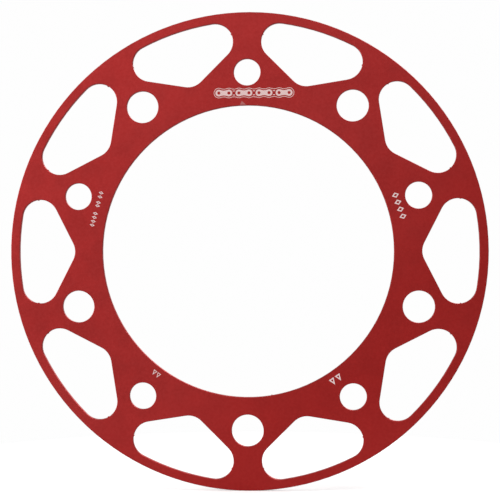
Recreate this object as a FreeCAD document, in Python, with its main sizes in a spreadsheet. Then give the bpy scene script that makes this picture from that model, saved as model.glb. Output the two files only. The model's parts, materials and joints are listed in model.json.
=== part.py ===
"""Motorcycle rear sprocket disc: one flat plate cut from aluminium sheet, in millimetres.

The plate stands upright. Its axis is Y, its marked front faces -Y, and the origin is the
centre of the bore on the rear face, which lies in the plane Y = 0. A stud hole is at the top.
"""
import FreeCAD, Part
import math
import os

import Sketcher

DIMENSIONS = (
    ("outer_dia", 184.2, "outside diameter of the plate"),
    ("bore_dia", 112.4, "bore, which clears the spigot of the wheel's hub"),
    ("sheet_gauge", 2.0, "thickness of the sheet"),
    ("edge_round", 0.2, "radius on every cut edge, front and rear"),
    ("pitch_circle", 138.0, "diameter of the circle that both sets of holes stand on"),
    ("holes_per_set", 5, "holes in each set"),
    ("stud_hole_dia", 10.3, "hole for a sprocket stud"),
    ("large_hole_dia", 12.3, "larger hole, midway between two stud holes"),
    ("window_number", 10, "windows round the rim"),
    ("rim_web", 3.4, "width of the rim outside the windows"),
    ("window_round", 7.0, "radius in all three corners of a window"),
    ("flank_meet", 66.1, "distance from the axis where a window's flanks would meet"),
    ("spoke_slope", 45.0, "angle between a flank and the middle of its spoke, in degrees"),
    ("stub_round", 0.25, "radius of the stub that a broken holding tab leaves"),
    ("stub_reach", 0.8, "how far a window's stubs lie outside its corner centres"),
    ("bore_stub_turn", 9.5, "angle from the bottom to the stub in the bore, in degrees"),
)
FULL_TURN = 360
HALF_TURN = 180
QUARTER_TURN = 90
NEARLY_NOTHING = 0.001

# How the sketcher names points and fixed elements.
START, END, CENTRE = 1, 2, 3
X_AXIS, Y_AXIS = -1, -2
FIRST_OUTSIDE_EDGE = -3
ORIGIN = (X_AXIS, START)

# Places of some elements in the order in which their sketches are drawn.
RING_BORE = 1
WINDOW_CORNERS = (1, 5)

doc = FreeCAD.newDocument("sprocket_disc")
sheet = doc.addObject("Spreadsheet::Sheet", "Dimensions")
for row, (alias, value, meaning) in enumerate(DIMENSIONS, start=1):
    sheet.set(f"A{row}", meaning)
    sheet.set(f"B{row}", str(value))
    sheet.setAlias(f"B{row}", alias)
doc.recompute()
SIZE = {alias: float(sheet.get(alias)) for alias, _, _ in DIMENSIONS}


def point(x, y):
    return FreeCAD.Vector(x, y, 0)


def polar(radius, degrees):
    angle = math.radians(degrees)
    return point(radius * math.cos(angle), radius * math.sin(angle))


def circle_at(centre, radius):
    return Part.Circle(centre, FreeCAD.Vector(0, 0, 1), radius)


def arc_at(centre, radius, start, end):
    """An arc that runs anticlockwise from one angle to the other, in degrees."""
    return Part.ArcOfCircle(circle_at(centre, radius), math.radians(start), math.radians(end))


def new_sketch(body, name):
    """A sketch on the body's XZ plane: its x runs along X, its y along Z, its normal along -Y."""
    plane = next(item for item in body.Origin.OriginFeatures if item.Role == "XZ_Plane")
    sketch = body.newObject("Sketcher::SketchObject", name)
    sketch.AttachmentSupport = [(plane, "")]
    sketch.MapMode = "FlatFace"
    return sketch


def fix(sketch, kind, *arguments):
    return sketch.addConstraint(Sketcher.Constraint(kind, *arguments))


def bind(sketch, formula, kind, *arguments):
    """Adds a constraint that has a size, and ties the size to a formula on the sheet."""
    sketch.setExpression(f"Constraints[{fix(sketch, kind, *arguments)}]", formula)


def add_circle(sketch, centre, alias):
    """A circle with its diameter from the sheet. The caller fixes its centre."""
    circle = sketch.addGeometry(circle_at(centre, SIZE[alias] / 2))
    bind(sketch, f"Dimensions.{alias}", "Diameter", circle, SIZE[alias])
    return circle


def ring(body):
    """The blank: a flat ring in front of the plane Y = 0."""
    sketch = new_sketch(body, "RingSketch")
    for alias in ("outer_dia", "bore_dia"):
        fix(sketch, "Coincident", add_circle(sketch, point(0, 0), alias), CENTRE, *ORIGIN)
    pad = body.newObject("PartDesign::Pad", "Ring")
    pad.Profile = sketch
    pad.setExpression("Length", "Dimensions.sheet_gauge")


def repeat_round(body, feature, formula):
    """Repeats a feature at equal steps round the plate's axis, and checks that it counts."""
    pattern = body.newObject("PartDesign::PolarPattern", f"{feature.Name}s")
    pattern.Originals = [feature]
    pattern.Axis = (feature.Profile[0], ["N_Axis"])
    pattern.Angle = FULL_TURN
    pattern.setExpression("Occurrences", formula)
    body.Tip = pattern
    doc.recompute()
    before = feature.BaseFeature.Shape.Volume
    first = feature.Shape.Volume - before
    all_of_them = pattern.Shape.Volume - before
    shortfall = pattern.Occurrences - all_of_them / first if first else pattern.Occurrences
    if abs(shortfall) > NEARLY_NOTHING:
        raise RuntimeError(f"{pattern.Name} changes the plate by {all_of_them} mm3")


def cut_round(body, name, sketch, formula):
    """Cuts the sketch through the sheet, which lies on the side of its normal, and repeats it."""
    pocket = body.newObject("PartDesign::Pocket", name)
    pocket.Profile = sketch
    pocket.Type = "ThroughAll"
    pocket.Reversed = True
    repeat_round(body, pocket, formula)


def hole_set(body, name, alias, side):
    """A set of round holes, of which the first is at the top (side 1) or the bottom (side -1)."""
    reach = SIZE["pitch_circle"] / 2
    sketch = new_sketch(body, f"{name}Sketch")
    circle = add_circle(sketch, point(0, side * reach), alias)
    fix(sketch, "PointOnObject", circle, CENTRE, Y_AXIS)
    low, high = (ORIGIN, (circle, CENTRE))[::side]
    bind(sketch, "Dimensions.pitch_circle / 2", "DistanceY", *low, *high, reach)
    cut_round(body, name, sketch, "Dimensions.holes_per_set")


def window_sketch(body):
    """One window with its middle on +X: an arc beside the rim, two straight flanks, three rounds."""
    rim = SIZE["outer_dia"] / 2 - SIZE["rim_web"]
    corner = SIZE["window_round"]
    slope = SIZE["spoke_slope"] + HALF_TURN / SIZE["window_number"]
    meet = point(SIZE["flank_meet"], 0)

    # The corner's centre is one corner radius inside the flank and inside the rim's arc.
    flank = polar(1, slope)
    inset = meet + polar(corner, slope - QUARTER_TURN)
    half_way = inset.dot(flank)
    run = math.sqrt(half_way**2 - inset.dot(inset) + (rim - corner) ** 2) - half_way
    upper_centre = inset + flank * run
    lower_centre = point(upper_centre.x, -upper_centre.y)
    apex_centre = meet + point(corner / math.sin(math.radians(slope)), 0)

    lean = math.degrees(math.atan2(upper_centre.y, upper_centre.x))
    upper_side = slope + QUARTER_TURN
    lower_side = FULL_TURN - upper_side
    to_upper = polar(corner, upper_side)
    to_lower = polar(corner, lower_side)
    outline = (
        arc_at(point(0, 0), rim, -lean, lean),
        arc_at(upper_centre, corner, lean, upper_side),
        Part.LineSegment(upper_centre + to_upper, apex_centre + to_upper),
        arc_at(apex_centre, corner, upper_side, lower_side),
        Part.LineSegment(apex_centre + to_lower, lower_centre + to_lower),
        arc_at(lower_centre, corner, lower_side, FULL_TURN - lean),
    )

    sketch = new_sketch(body, "WindowSketch")
    loop = tuple(sketch.addGeometry(element) for element in outline)
    rim_arc, upper, upper_flank, apex, _, lower = loop
    meeting = sketch.addGeometry(Part.Point(meet), True)
    for here, after in zip(loop, loop[1:] + loop[:1]):
        fix(sketch, "Tangent", here, END, after, START)
    fix(sketch, "Coincident", rim_arc, CENTRE, *ORIGIN)
    fix(sketch, "PointOnObject", apex, CENTRE, X_AXIS)
    fix(sketch, "Equal", upper, apex)
    fix(sketch, "Symmetric", upper, CENTRE, lower, CENTRE, X_AXIS)
    fix(sketch, "PointOnObject", meeting, START, X_AXIS)
    fix(sketch, "PointOnObject", meeting, START, upper_flank)
    bind(sketch, "Dimensions.outer_dia / 2 - Dimensions.rim_web", "Radius", rim_arc, rim)
    bind(sketch, "Dimensions.window_round", "Radius", upper, corner)
    bind(sketch, "Dimensions.flank_meet", "DistanceX", *ORIGIN, meeting, START, meet.x)
    angle = "(Dimensions.spoke_slope + 180 / Dimensions.window_number) * 1 deg"
    bind(sketch, angle, "Angle", X_AXIS, START, upper_flank, END, math.radians(slope))
    return sketch


def round_edges(body):
    """Rounds every edge of the front and the rear face."""
    cut_plate = body.Tip
    names = [
        f"Face{number}"
        for number, face in enumerate(cut_plate.Shape.Faces, start=1)
        if isinstance(face.Surface, Part.Plane) and 1 - abs(face.Surface.Axis.y) < NEARLY_NOTHING
    ]
    fillet = body.newObject("PartDesign::Fillet", "EdgeRound")
    fillet.Base = (cut_plate, names)
    fillet.setExpression("Radius", "Dimensions.edge_round")
    body.Tip = fillet
    doc.recompute()


def stub_sketch(body, name):
    """A sketch just in front of the rear edges' rounding, for stubs between both roundings."""
    sketch = new_sketch(body, name)
    sketch.setExpression(".AttachmentOffset.Base.z", "Dimensions.edge_round")
    return sketch


def stub_pad(body, name, sketch):
    pad = body.newObject("PartDesign::Pad", name)
    pad.Profile = sketch
    pad.setExpression("Length", "Dimensions.sheet_gauge - 2 * Dimensions.edge_round")
    body.Tip = pad
    return pad


def add_stub(sketch, centre, edge):
    """A stub's round end, centred on an edge that the sketch takes from another one."""
    stub = sketch.addGeometry(circle_at(centre, SIZE["stub_round"]))
    bind(sketch, "Dimensions.stub_round", "Radius", stub, SIZE["stub_round"])
    fix(sketch, "PointOnObject", stub, CENTRE, edge)
    return stub


def window_stubs(body, window):
    """Two stubs in each window, where its slug was held at both ends while it was cut."""
    sketch = stub_sketch(body, "WindowStubSketch")
    for count, corner in enumerate(WINDOW_CORNERS):
        sketch.addExternal(window.Name, f"Edge{corner + 1}")
        place = FIRST_OUTSIDE_EDGE - count
        arc = window.Geometry[corner]
        side = math.copysign(1, arc.Center.y)
        drop = math.sqrt(SIZE["window_round"] ** 2 - SIZE["stub_reach"] ** 2)
        stub = add_stub(sketch, arc.Center + point(SIZE["stub_reach"], side * drop), place)
        ends = (place, CENTRE, stub, CENTRE)
        bind(sketch, "Dimensions.stub_reach", "DistanceX", *ends, SIZE["stub_reach"])
    repeat_round(body, stub_pad(body, "WindowStub", sketch), "Dimensions.window_number")


def bore_stub(body, ring_sketch):
    """The one stub that is left in the bore."""
    turn = SIZE["bore_stub_turn"] - QUARTER_TURN
    sketch = stub_sketch(body, "BoreStubSketch")
    sketch.addExternal(ring_sketch.Name, f"Edge{RING_BORE + 1}")
    centre = polar(SIZE["bore_dia"] / 2, turn)
    stub = add_stub(sketch, centre, FIRST_OUTSIDE_EDGE)
    sideways = "Dimensions.bore_dia / 2 * sin(Dimensions.bore_stub_turn * 1 deg)"
    bind(sketch, sideways, "DistanceX", *ORIGIN, stub, CENTRE, centre.x)
    stub_pad(body, "BoreStub", sketch)


def sprocket_disc():
    body = doc.addObject("PartDesign::Body", "SprocketDisc")
    body.Label = "sprocket_disc"
    ring(body)
    hole_set(body, "StudHole", "stud_hole_dia", 1)
    hole_set(body, "LargeHole", "large_hole_dia", -1)
    window = window_sketch(body)
    cut_round(body, "Window", window, "Dimensions.window_number")
    round_edges(body)
    window_stubs(body, window)
    bore_stub(body, doc.getObject("RingSketch"))
    return body


def check(bodies):
    """Stops when anything in the document failed, a sketch is loose or a body isn't one solid."""
    for item in doc.Objects:
        if {"Invalid", "Error"} & set(item.State):
            raise RuntimeError(f"{item.Name} is {item.State}")
        if item.isDerivedFrom("Sketcher::SketchObject") and not item.FullyConstrained:
            raise RuntimeError(f"{item.Name} is not fully constrained")
    for body in bodies:
        shape = body.Shape
        if shape.isNull() or not shape.isValid() or len(shape.Solids) != 1:
            raise RuntimeError(f"{body.Label} is not one valid solid")


disc = sprocket_disc()
doc.recompute()
check([disc])
os.makedirs("parts", exist_ok=True)
for body in (disc,):
    body.Shape.exportStep(f"parts/{body.Label}.step")
    box = body.Shape.optimalBoundingBox()
    print(f"{body.Label}: {box.XLength:.2f} x {box.YLength:.2f} x {box.ZLength:.2f} mm,"
          f" {body.Shape.Volume:.1f} mm3")
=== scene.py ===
"""The looks of the rear sprocket disc: red anodised sheet, laser marks, studio and camera.

Everything is in metres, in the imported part's own frame. The disc stands on its rim, its marked
front faces -Y, and the origin is the centre of the bore on the rear face.
"""
import json
import math

import bmesh
import bpy
from mathutils import Matrix, Quaternion, Vector


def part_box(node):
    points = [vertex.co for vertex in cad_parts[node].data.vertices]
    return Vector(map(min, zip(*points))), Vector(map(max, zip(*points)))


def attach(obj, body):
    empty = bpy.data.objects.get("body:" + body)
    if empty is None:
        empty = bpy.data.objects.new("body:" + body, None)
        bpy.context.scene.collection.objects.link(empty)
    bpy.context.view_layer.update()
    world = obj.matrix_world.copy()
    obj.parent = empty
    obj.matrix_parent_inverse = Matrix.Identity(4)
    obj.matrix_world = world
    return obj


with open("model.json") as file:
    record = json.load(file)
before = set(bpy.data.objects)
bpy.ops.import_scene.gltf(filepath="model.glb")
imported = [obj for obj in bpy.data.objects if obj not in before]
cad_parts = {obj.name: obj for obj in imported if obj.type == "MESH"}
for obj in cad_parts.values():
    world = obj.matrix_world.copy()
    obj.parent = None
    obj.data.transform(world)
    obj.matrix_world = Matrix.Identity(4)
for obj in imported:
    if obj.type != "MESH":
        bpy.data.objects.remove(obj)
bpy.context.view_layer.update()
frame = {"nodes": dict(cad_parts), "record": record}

MM = 0.001
DISC = frame["nodes"]["sprocket_disc"]
low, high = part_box("sprocket_disc")
FRONT = low.y
FLOOR = low.z
GAUGE = high.y - low.y
MOUNTS = {mount["name"]: mount["dims"] for mount in frame["record"]["mounts"]}
BORE = MOUNTS["bore"]["r_mm"] * MM

# ---------------------------------------------------------------- materials


def colour(red, green, blue):
    return (red, green, blue, 1.0)


# Colours of the metal, darkest and lightest, unshaded and with painted shade towards the lower
# right, and on the cut walls. Then that of the rounded edges, darkened as painted shade, and of
# the edges where they are rubbed.
UNSHADED_DYE = colour(0.398, 0.0215, 0.0204), colour(0.442, 0.0300, 0.0286)
PAINTED_SHADE_DYE = colour(0.372, 0.0141, 0.0128), colour(0.413, 0.0199, 0.0180)
CUT_WALL = colour(0.30, 0.016, 0.016), colour(0.42, 0.028, 0.027)
EDGE_PAINTED_SHADE = colour(0.27, 0.014, 0.014)
RUBBED_EDGE = colour(0.62, 0.20, 0.18)

# Sizes of the patterns in the metal and in its cut walls, and depths of its finest relief.
CLOUD_SIZE = 40 * MM
MOTTLE_SIZE = 1.1 * MM
SATIN_SIZE = 7 * MM
RUB_SIZE = 3 * MM
ETCH_SIZE = 0.2 * MM
ETCH_DEPTH = 0.004 * MM
LASER_LINE = 0.3 * MM
LASER_LINE_STRETCH = 12
LASER_LINE_DEPTH = 0.06 * MM

# How far from the middle, towards the lower right, the painted shade starts and stops getting
# darker.
PAINTED_SHADE_SPAN = (-10 * MM, 90 * MM)

# A surface's facing is 1 on the flat faces and 0 on the cut walls. The look of a wall sets in
# over the first span of it, and that of a rounded edge over the other two, from either side.
WALL_SPAN = (0.35, 0.1)
EDGE_FROM_WALL = (0.1, 0.5)
EDGE_FROM_FACE = (0.99, 0.9)

# Noise runs from 0 to 1 and mostly lies in the middle. Part of the dye's pattern is cloud and
# the rest is mottle. Where the noise is high, an edge is rubbed, up to this much.
NOISE_SPAN = (0.3, 0.7)
CLOUD_SHARE = 0.4
RUB_SPAN = (0.5, 0.8)
RUB_MOST = 0.35

# Roughness of the metal, what the cut walls and the rounded edges add to it, and the sealing
# film on top. The laser's lines start this deep in front, as a share of their full depth.
SATIN = (0.37, 0.43)
ROUGHER_WALL = 0.12
ROUGHER_EDGE = 0.15
FILM = 0.2
FILM_ROUGHNESS = 0.35
SHALLOW_FRONT = 0.4

# Colours of the laser marks, bleached and still dyed, in fine strokes, in filled areas and in
# the faint wedge. A mark's rows are as far apart as the laser's passes, and are faint beside
# the speckle. Where the speckle is high, dye is left, up to this much.
STROKE_TONES = colour(0.60, 0.485, 0.48), colour(0.52, 0.30, 0.29)
FILLED_TONES = colour(0.58, 0.42, 0.408), colour(0.52, 0.30, 0.29)
FAINT_TONES = colour(0.31, 0.085, 0.082), colour(0.27, 0.03, 0.03)
MARK_ROW = 0.12 * MM
MARK_SPECKLE = 0.25 * MM
MARK_RELIEF = 0.01 * MM
MARK_ROUGHNESS = (0.6, 0.75)
ROW_SHARE = 0.15
DYE_LEFT_SPAN = (0.4, 0.8)
DYE_LEFT_MOST = 0.8

PAPER_TONES = colour(0.46, 0.46, 0.46), colour(0.50, 0.50, 0.50)
PAPER_FIBRE = 2 * MM
PAPER_RELIEF = 0.02 * MM
PAPER_ROUGHNESS = 0.9
PAPER_GLOW = 0.42

# Sockets of the colour form of the Mix node.
MIX_FACTOR, MIX_A, MIX_B, MIX_RESULT = 0, 6, 7, 2


class Look:
    """A material and its node tree, with short ways to add nodes that lie in the part's frame."""

    def __init__(self, name):
        self.material = bpy.data.materials.new(name)
        self.material.use_nodes = True
        self.tree = self.material.node_tree
        self.shader = self.tree.nodes["Principled BSDF"]
        coordinates = self.add("ShaderNodeTexCoord")
        self.place = coordinates.outputs["Object"]
        self.normal = coordinates.outputs["Normal"]

    def add(self, kind, **inputs):
        """A node. Each input is named by its words joined with _, or by its number after a _."""
        node = self.tree.nodes.new(kind)
        for name, value in inputs.items():
            key = int(name[1:]) if name.startswith("_") else name.replace("_", " ").title()
            self.feed(node.inputs[key], value)
        return node

    def feed(self, socket, value):
        """Links another node's output to the socket, or sets a plain value on it."""
        if isinstance(value, bpy.types.NodeSocket):
            self.tree.links.new(value, socket)
        else:
            socket.default_value = value

    def shade(self, **inputs):
        for name, value in inputs.items():
            self.feed(self.shader.inputs[name.replace("_", " ").title()], value)

    def maths(self, operation, *values):
        node = self.add("ShaderNodeMath")
        node.operation = operation
        for socket, value in zip(node.inputs, values):
            self.feed(socket, value)
        return node.outputs["Value"]

    def total(self, first, second):
        return self.maths("ADD", first, second)

    def product(self, first, second):
        return self.maths("MULTIPLY", first, second)

    def ramp(self, value, start, end, to_start=0.0, to_end=1.0):
        """Turns smoothly from to_start to to_end while the value goes from start to end."""
        node = self.add("ShaderNodeMapRange", value=value, from_min=start, from_max=end,
                        to_min=to_start, to_max=to_end)
        node.interpolation_type = "SMOOTHSTEP"
        return node.outputs["Result"]

    def mix(self, factor, first, second):
        node = self.add("ShaderNodeMix")
        node.data_type = "RGBA"
        self.feed(node.inputs[MIX_FACTOR], factor)
        self.feed(node.inputs[MIX_A], first)
        self.feed(node.inputs[MIX_B], second)
        return node.outputs[MIX_RESULT]

    def axis(self, vector, letter):
        return self.add("ShaderNodeSeparateXYZ", vector=vector).outputs[letter]

    def noise(self, size, detail=2.0, stretch=(1, 1, 1)):
        """Soft noise with features of that size, longer along an axis whose stretch is above 1."""
        scales = [1 / factor for factor in stretch]
        stretched = self.add("ShaderNodeVectorMath", _0=self.place, _1=scales)
        stretched.operation = "MULTIPLY"
        node = self.add("ShaderNodeTexNoise", vector=stretched.outputs[0], scale=1 / size,
                        detail=detail)
        return node.outputs[0]

    def bump(self, height, depth, under=None):
        """A normal from a height between 0 and 1, where 1 is that depth in metres."""
        node = self.add("ShaderNodeBump", height=height, distance=depth)
        if under is not None:
            self.feed(node.inputs["Normal"], under)
        return node.outputs["Normal"]


def anodised_sheet():
    """Satin red anodising with fine mottling, laser lines on the cut walls, worn edges and painted
    shade.
    """
    look = Look("anodised_sheet")

    # 1 on the flat faces and 0 on the cut walls, with the rounded edges in between.
    facing = look.maths("ABSOLUTE", look.axis(look.normal, "Y"))
    wall = look.ramp(facing, *WALL_SPAN)
    rounding = look.product(look.ramp(facing, *EDGE_FROM_WALL),
                            look.ramp(facing, *EDGE_FROM_FACE))

    # The dye is mottled, and the metal is painted a little darker and deeper red towards the lower
    # right: painted shade.
    cloud = look.noise(CLOUD_SIZE)
    mottle = look.noise(MOTTLE_SIZE, detail=3.0)
    dye = look.total(look.product(cloud, CLOUD_SHARE), look.product(mottle, 1 - CLOUD_SHARE))
    lower_right = look.maths("SUBTRACT", look.axis(look.place, "X"), look.axis(look.place, "Z"))
    painted_shade = look.ramp(lower_right, *PAINTED_SHADE_SPAN)
    darkest, lightest = (look.mix(painted_shade, *tones) for tones in zip(UNSHADED_DYE, PAINTED_SHADE_DYE))
    paint = look.mix(look.ramp(dye, *NOISE_SPAN), darkest, lightest)

    # The laser leaves fine lines through the sheet, which get rougher towards the rear.
    lines = look.noise(LASER_LINE, stretch=(1, LASER_LINE_STRETCH, 1))
    paint = look.mix(wall, paint, look.mix(lines, *CUT_WALL))
    deeper = look.ramp(look.axis(look.place, "Y"), FRONT, FRONT + GAUGE, SHALLOW_FRONT)
    ridges = look.product(look.product(lines, wall), deeper)

    # The rounded edges are painted darker than the face: painted shade that dims their highlights.
    paint = look.mix(rounding, paint, EDGE_PAINTED_SHADE)
    rubs = look.ramp(look.noise(RUB_SIZE), *RUB_SPAN, to_end=RUB_MOST)
    paint = look.mix(look.product(rounding, rubs), paint, RUBBED_EDGE)

    satin = look.ramp(look.noise(SATIN_SIZE, detail=4.0), *NOISE_SPAN, *SATIN)
    rougher = look.total(look.product(wall, ROUGHER_WALL), look.product(rounding, ROUGHER_EDGE))
    etched = look.bump(look.noise(ETCH_SIZE), ETCH_DEPTH)
    look.shade(base_color=paint, metallic=1.0, roughness=look.total(satin, rougher),
               coat_weight=FILM, coat_roughness=FILM_ROUGHNESS,
               normal=look.bump(ridges, LASER_LINE_DEPTH, etched))
    return look.material


def laser_mark(name, bleached, dyed):
    """Anodising bleached by a laser: matt and off-white, in fine rows, with some dye left."""
    look = Look(name)
    height = look.axis(look.place, "Z")
    rows = look.maths("SINE", look.product(height, 2 * math.pi / MARK_ROW))
    speckle = look.noise(MARK_SPECKLE, detail=3.0)
    dye_left = look.ramp(speckle, *DYE_LEFT_SPAN, to_end=DYE_LEFT_MOST)
    burnt = look.total(speckle, look.product(rows, ROW_SHARE))
    look.shade(base_color=look.mix(dye_left, bleached, dyed),
               roughness=look.ramp(speckle, *NOISE_SPAN, *MARK_ROUGHNESS),
               normal=look.bump(burnt, MARK_RELIEF))
    return look.material


def studio_paper():
    """Pale paper: clean and bright to the camera, and no brighter to the disc than the studio."""
    look = Look("studio_paper")
    fibre = look.noise(PAPER_FIBRE)
    look.shade(base_color=look.mix(fibre, *PAPER_TONES), roughness=PAPER_ROUGHNESS,
               normal=look.bump(fibre, PAPER_RELIEF))
    plain = look.shader.outputs[0]
    glow = look.add("ShaderNodeEmission", color=colour(1, 1, 1), strength=PAPER_GLOW)
    glowing = look.add("ShaderNodeAddShader", _0=plain, _1=glow.outputs[0])
    to_camera = look.add("ShaderNodeLightPath").outputs["Is Camera Ray"]
    seen = look.add("ShaderNodeMixShader", _0=to_camera, _1=plain, _2=glowing.outputs[0])
    look.feed(look.tree.nodes["Material Output"].inputs["Surface"], seen.outputs[0])
    return look.material


# ---------------------------------------------------------------- laser marks

MARK_PROUD = 0.012 * MM
MARK_SUNK = 0.03 * MM
WELD = 0.001 * MM
ARC_STEP = math.radians(12)


def arc(centre, radius, start, end):
    """Points along an arc between two angles in radians, both ends included."""
    steps = max(2, round(abs(end - start) / ARC_STEP))
    angles = [start + (end - start) * step / steps for step in range(steps + 1)]
    return [centre + radius * Vector((math.cos(angle), math.sin(angle))) for angle in angles]


def circle(centre, radius):
    return arc(centre, radius, 0, 2 * math.pi)[:-1]


def moved(loop, offset):
    return [point + offset for point in loop]


def engrave(name, loops, place, material):
    """A thin solid on the front face. A loop inside another one is a hole in it."""
    shape = bpy.data.curves.new(name, "CURVE")
    shape.dimensions = "2D"
    shape.fill_mode = "BOTH"
    shape.extrude = (MARK_PROUD + MARK_SUNK) / 2
    for loop in loops:
        spline = shape.splines.new("POLY")
        spline.points.add(len(loop) - 1)
        for point, corner in zip(spline.points, loop):
            point.co = (corner.x, corner.y, 0, 1)
        spline.use_cyclic_u = True
    outline = bpy.data.objects.new(f"{name}_outline", shape)
    bpy.context.scene.collection.objects.link(outline)
    bpy.context.view_layer.update()
    evaluated = outline.evaluated_get(bpy.context.evaluated_depsgraph_get())
    mesh = bpy.data.meshes.new_from_object(evaluated)
    bpy.data.objects.remove(outline)

    solid = bmesh.new()
    solid.from_mesh(mesh)
    bmesh.ops.remove_doubles(solid, verts=solid.verts, dist=WELD)
    bmesh.ops.recalc_face_normals(solid, faces=solid.faces)
    solid.to_mesh(mesh)
    solid.free()
    sink = Matrix.Translation((0, FRONT + (MARK_SUNK - MARK_PROUD) / 2, 0))
    upright = Matrix.Rotation(math.pi / 2, 4, "X")
    mesh.transform(sink @ upright @ place)
    mesh.name = name
    mesh.materials.clear()
    mesh.materials.append(material)
    piece = bpy.data.objects.new(name, mesh)
    bpy.context.scene.collection.objects.link(piece)
    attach(piece, "root")


def on_front(x, y, turn=0.0):
    """A place on the front face, seen from the front, for marks drawn round their own middle."""
    return Matrix.Translation((x, y, 0)) @ Matrix.Rotation(turn, 4, "Z")


def round_bore(angle, radius, tilt=0.0):
    """A place at that angle and radius, where marks read clockwise with their tops outwards."""
    turn = math.radians(angle)
    lean = turn - math.pi / 2 + math.radians(tilt)
    return on_front(radius * math.cos(turn), radius * math.sin(turn), lean)


# Corners as shares of half the width and half the height, anticlockwise.
DIAMOND = ((1, 0), (0, 1), (-1, 0), (0, -1))
TRIANGLE = ((1, -1), (0, 1), (-1, -1))


def inset(loop, stroke):
    """The loop moved inwards by the stroke, for a convex outline that runs anticlockwise."""
    inner = []
    for before, here, after in zip(loop[-1:] + loop[:-1], loop, loop[1:] + loop[:1]):
        arriving = (here - before).normalized()
        leaving = (after - here).normalized()
        bisector = (leaving - arriving).normalized()
        sine_of_half = math.sqrt((1 + arriving.dot(leaving)) / 2)
        inner.append(here + bisector * stroke / sine_of_half)
    return inner


def evenly(number, step, middle=0.0):
    """That many places a step apart, as a row about its middle."""
    return [middle + (index - (number - 1) / 2) * step for index in range(number)]


def glyph_row(name, corners, place, material, width, height, stroke, centres):
    """Open outlines of one simple shape in a row."""
    outer = [Vector((x * width / 2, y * height / 2)) for x, y in corners]
    inner = inset(outer, stroke)
    loops = [moved(loop, Vector((centre, 0))) for centre in centres for loop in (outer, inner)]
    engrave(name, loops, place, material)


LINK_NUMBER = 7
PIN_PITCH = 3.87 * MM
PIN_HOLE = 0.6 * MM
PLATE_END = 1.32 * MM
PLATE_WAIST = 0.92 * MM
OPEN_LINE = 0.3 * MM
OPEN_GAP = 0.2 * MM
KEYLINE = 0.2 * MM
KEYLINE_GAP = 0.45 * MM


def waist_circle():
    """The centre and radius of the round that hollows a link plate and meets both its ends."""
    reach = PIN_PITCH / 2
    radius = (reach**2 + PLATE_WAIST**2 - PLATE_END**2) / (2 * (PLATE_END - PLATE_WAIST))
    return Vector((0, PLATE_WAIST + radius)), radius


def chain_outline(links, spread=0.0):
    """The outline of that many link plates in a row, moved outwards by the spread."""
    above, radius = waist_circle()
    lean = math.atan2(above.y, PIN_PITCH / 2)
    last_pin, *other_pins = reversed(evenly(links + 1, PIN_PITCH))
    top = arc(Vector((last_pin, 0)), PLATE_END + spread, 0, math.pi - lean)[:-1]
    for pin in other_pins:
        waist = above + Vector((pin + PIN_PITCH / 2, 0))
        top += arc(waist, radius - spread, -lean, lean - math.pi)[:-1]
        stop = math.pi if pin == other_pins[-1] else math.pi - lean
        top += arc(Vector((pin, 0)), PLATE_END + spread, lean, stop)[:-1]
    bottom = [-point for point in top]
    return top + bottom


def link_plate():
    """A solid figure-eight link plate with two pin holes."""
    pins = [circle(Vector((pin, 0)), PIN_HOLE) for pin in evenly(2, PIN_PITCH)]
    return [chain_outline(1), *pins]


def open_plate():
    """The two edges of the link plate behind, as far as they show between two solid plates."""
    above, radius = waist_circle()
    half_turn = math.asin((PIN_PITCH / 2 - PLATE_END - OPEN_GAP) / radius)
    upper = arc(above, radius, -math.pi / 2 - half_turn, -math.pi / 2 + half_turn)
    upper += arc(above, radius + OPEN_LINE, -math.pi / 2 + half_turn, -math.pi / 2 - half_turn)
    return [upper, [Vector((point.x, -point.y)) for point in upper]]


def chain_emblem(place, material):
    """A stretch of roller chain in a thin outline. Every other link plate lies behind."""
    loops = [chain_outline(LINK_NUMBER, spread) for spread in (KEYLINE_GAP + KEYLINE, KEYLINE_GAP)]
    for link, middle in enumerate(evenly(LINK_NUMBER, PIN_PITCH)):
        shapes = open_plate() if link % 2 else link_plate()
        loops += [moved(shape, Vector((middle, 0))) for shape in shapes]
    engrave("chain_emblem", loops, place, material)


def laser_marks():
    """Plain shapes where the disc is marked. None of them is a letter or a number."""
    bleached = laser_mark("laser_mark", *STROKE_TONES)
    filled = laser_mark("filled_mark", *FILLED_TONES)
    faint = laser_mark("faint_mark", *FAINT_TONES)
    chain_emblem(on_front(2.65 * MM, 60.95 * MM), filled)
    glyph_row("diamonds_right", DIAMOND, round_bore(16.55, 60.7 * MM, 2.9), bleached,
              width=2.1 * MM, height=2.8 * MM, stroke=0.42 * MM, centres=evenly(4, 2.85 * MM))
    three_groups = [
        *evenly(4, 1.55 * MM, middle=-4.1 * MM),
        *evenly(2, 1.3 * MM, middle=2.0 * MM),
        *evenly(2, 1.6 * MM, middle=5.7 * MM),
    ]
    glyph_row("diamonds_left", DIAMOND, round_bore(164.3, 60.75 * MM), bleached,
              width=1.15 * MM, height=2.0 * MM, stroke=0.27 * MM, centres=three_groups)
    glyph_row("triangles_lower_right", TRIANGLE, round_bore(-55.4, 59.85 * MM), bleached,
              width=2.2 * MM, height=2.7 * MM, stroke=0.44 * MM, centres=evenly(2, 2.75 * MM))
    glyph_row("triangles_lower_left", TRIANGLE, round_bore(-126.8, 59.1 * MM), bleached,
              width=1.5 * MM, height=2.0 * MM, stroke=0.23 * MM, centres=evenly(2, 1.85 * MM))
    wedge = [Vector((-1.2 * MM, 0)), Vector((1.2 * MM, 0)), Vector((-0.5 * MM, 1.5 * MM))]
    engrave("index_wedge", [wedge], on_front(-1.55 * MM, BORE + 0.2 * MM), faint)


# ---------------------------------------------------------------- studio and camera

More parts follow.
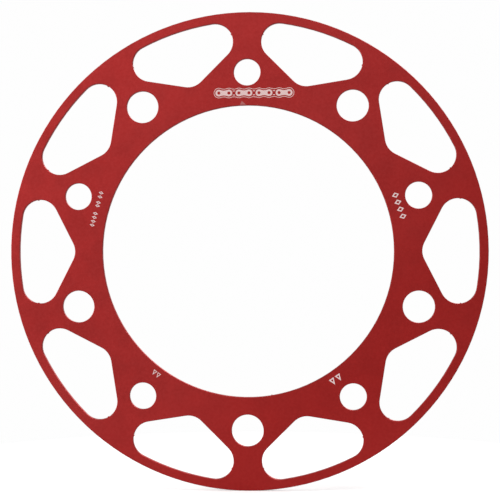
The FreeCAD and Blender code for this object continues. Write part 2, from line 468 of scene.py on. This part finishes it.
# Turns, lifts and the roll are in degrees, the lens and the sensor in millimetres, and the
# softboxes' powers in watts.
MIDDLE = Vector((0, FRONT, 0))
AIM = MIDDLE + Vector((1.03 * MM, 0, 0.47 * MM))
CAMERA_DISTANCE = 550 * MM
CAMERA_TURN = 3.87
CAMERA_LIFT = -0.22
CAMERA_ROLL = -0.10
CAMERA_LENS = 102.95
CAMERA_SENSOR = 36

SOFTBOX_DISTANCE = 1.2
SOFTBOX_SIDE = 0.7
BACKDROP = 0.99
AMBIENT = 0.565
FLOOR_RADIUS = 180 * MM
FLOOR_SIDES = 96


def towards(turn, lift):
    """The direction from the disc to something turned to its right and lifted, in degrees."""
    across, up = math.radians(turn), math.radians(lift)
    return Vector((math.sin(across) * math.cos(up), -math.cos(across) * math.cos(up),
                   math.sin(up)))


def look_at(item, target):
    item.rotation_mode = "QUATERNION"
    item.rotation_quaternion = (target - item.location).to_track_quat("-Z", "Y")


def add_camera():
    data = bpy.data.cameras.new("camera")
    data.sensor_width = CAMERA_SENSOR
    data.lens = CAMERA_LENS
    camera = bpy.data.objects.new("camera", data)
    bpy.context.scene.collection.objects.link(camera)
    camera.location = MIDDLE + towards(CAMERA_TURN, CAMERA_LIFT) * CAMERA_DISTANCE
    look_at(camera, AIM)
    camera.rotation_quaternion @= Quaternion((0, 0, 1), math.radians(CAMERA_ROLL))
    bpy.context.scene.camera = camera


def softbox(name, turn, lift, power):
    """A square light that faces the disc and isn't seen itself."""
    data = bpy.data.lights.new(name, "AREA")
    data.shape = "SQUARE"
    data.size = SOFTBOX_SIDE
    data.energy = power
    lamp = bpy.data.objects.new(name, data)
    bpy.context.scene.collection.objects.link(lamp)
    lamp.location = MIDDLE + towards(turn, lift) * SOFTBOX_DISTANCE
    look_at(lamp, MIDDLE)
    lamp.visible_camera = False


def add_world():
    """A white backdrop for the camera, and an even, dimmer light from all round for the disc."""
    world = bpy.data.worlds.new("studio")
    bpy.context.scene.world = world
    world.use_nodes = True
    tree = world.node_tree
    path = tree.nodes.new("ShaderNodeLightPath")
    strength = tree.nodes.new("ShaderNodeMapRange")
    strength.inputs["To Min"].default_value = AMBIENT
    strength.inputs["To Max"].default_value = BACKDROP
    tree.links.new(path.outputs["Is Camera Ray"], strength.inputs["Value"])
    background = tree.nodes["Background"]
    background.inputs["Color"].default_value = colour(1, 1, 1)
    tree.links.new(strength.outputs["Result"], background.inputs["Strength"])


def add_floor():
    mesh = bpy.data.meshes.new("floor")
    patch = bmesh.new()
    bmesh.ops.create_circle(patch, cap_ends=True, segments=FLOOR_SIDES, radius=FLOOR_RADIUS)
    patch.to_mesh(mesh)
    patch.free()
    mesh.materials.append(studio_paper())
    floor = bpy.data.objects.new("floor", mesh)
    floor.location.z = FLOOR
    bpy.context.scene.collection.objects.link(floor)


DISC.material_slots[0].material = anodised_sheet()
laser_marks()
add_floor()
add_world()
softbox("left_softbox", turn=-60, lift=10, power=11.2)
softbox("high_softbox", turn=-20, lift=35, power=1.85)
softbox("right_softbox", turn=60, lift=60, power=11.5)
softbox("back_softbox", turn=150, lift=35, power=7.2)
add_camera()
bpy.context.scene.view_settings.view_transform = "Standard"
